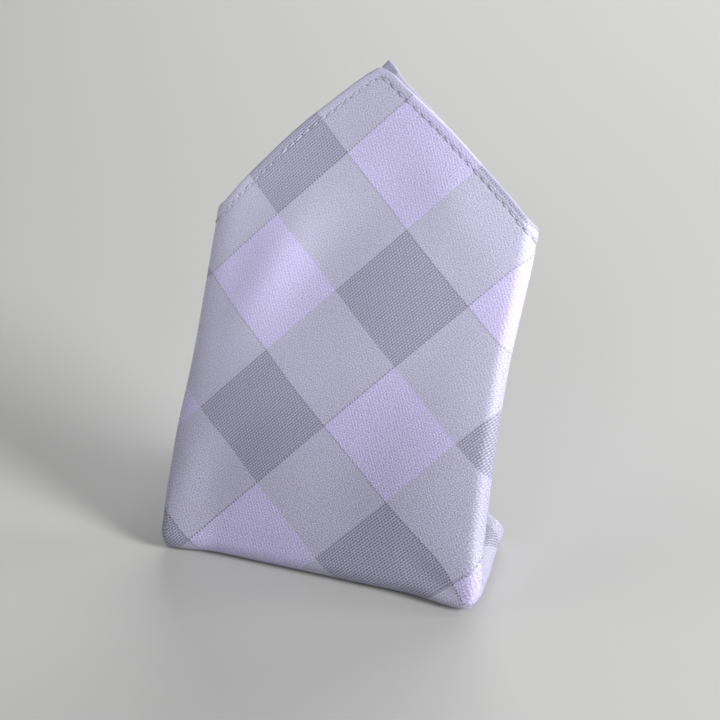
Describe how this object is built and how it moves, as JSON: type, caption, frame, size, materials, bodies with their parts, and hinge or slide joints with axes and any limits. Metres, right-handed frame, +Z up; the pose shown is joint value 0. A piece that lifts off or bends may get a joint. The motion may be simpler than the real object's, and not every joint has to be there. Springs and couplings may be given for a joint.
{
  "type": "folded pocket square",
  "caption": "Hemmed satin square folded to a point, its sides turned behind and its lower end turned back as a foot, so the front stands and leans back.",
  "frame": {"origin": "middle of the part's box, on the surface that the foot lies on", "axes": "+Z up, the point at the top; -Y the side that the front faces, the foot reaching back along +Y; +X along the bottom fold"},
  "size_m": [0.107, 0.0638, 0.1528],
  "materials": {
    "satin_check": "satin jacquard check in lavender, pale lavender grey and slate grey, soft sheen"
  },
  "bodies": {
    "root": {"folded_cloth": "satin_check"}
  },
  "joints": []
}
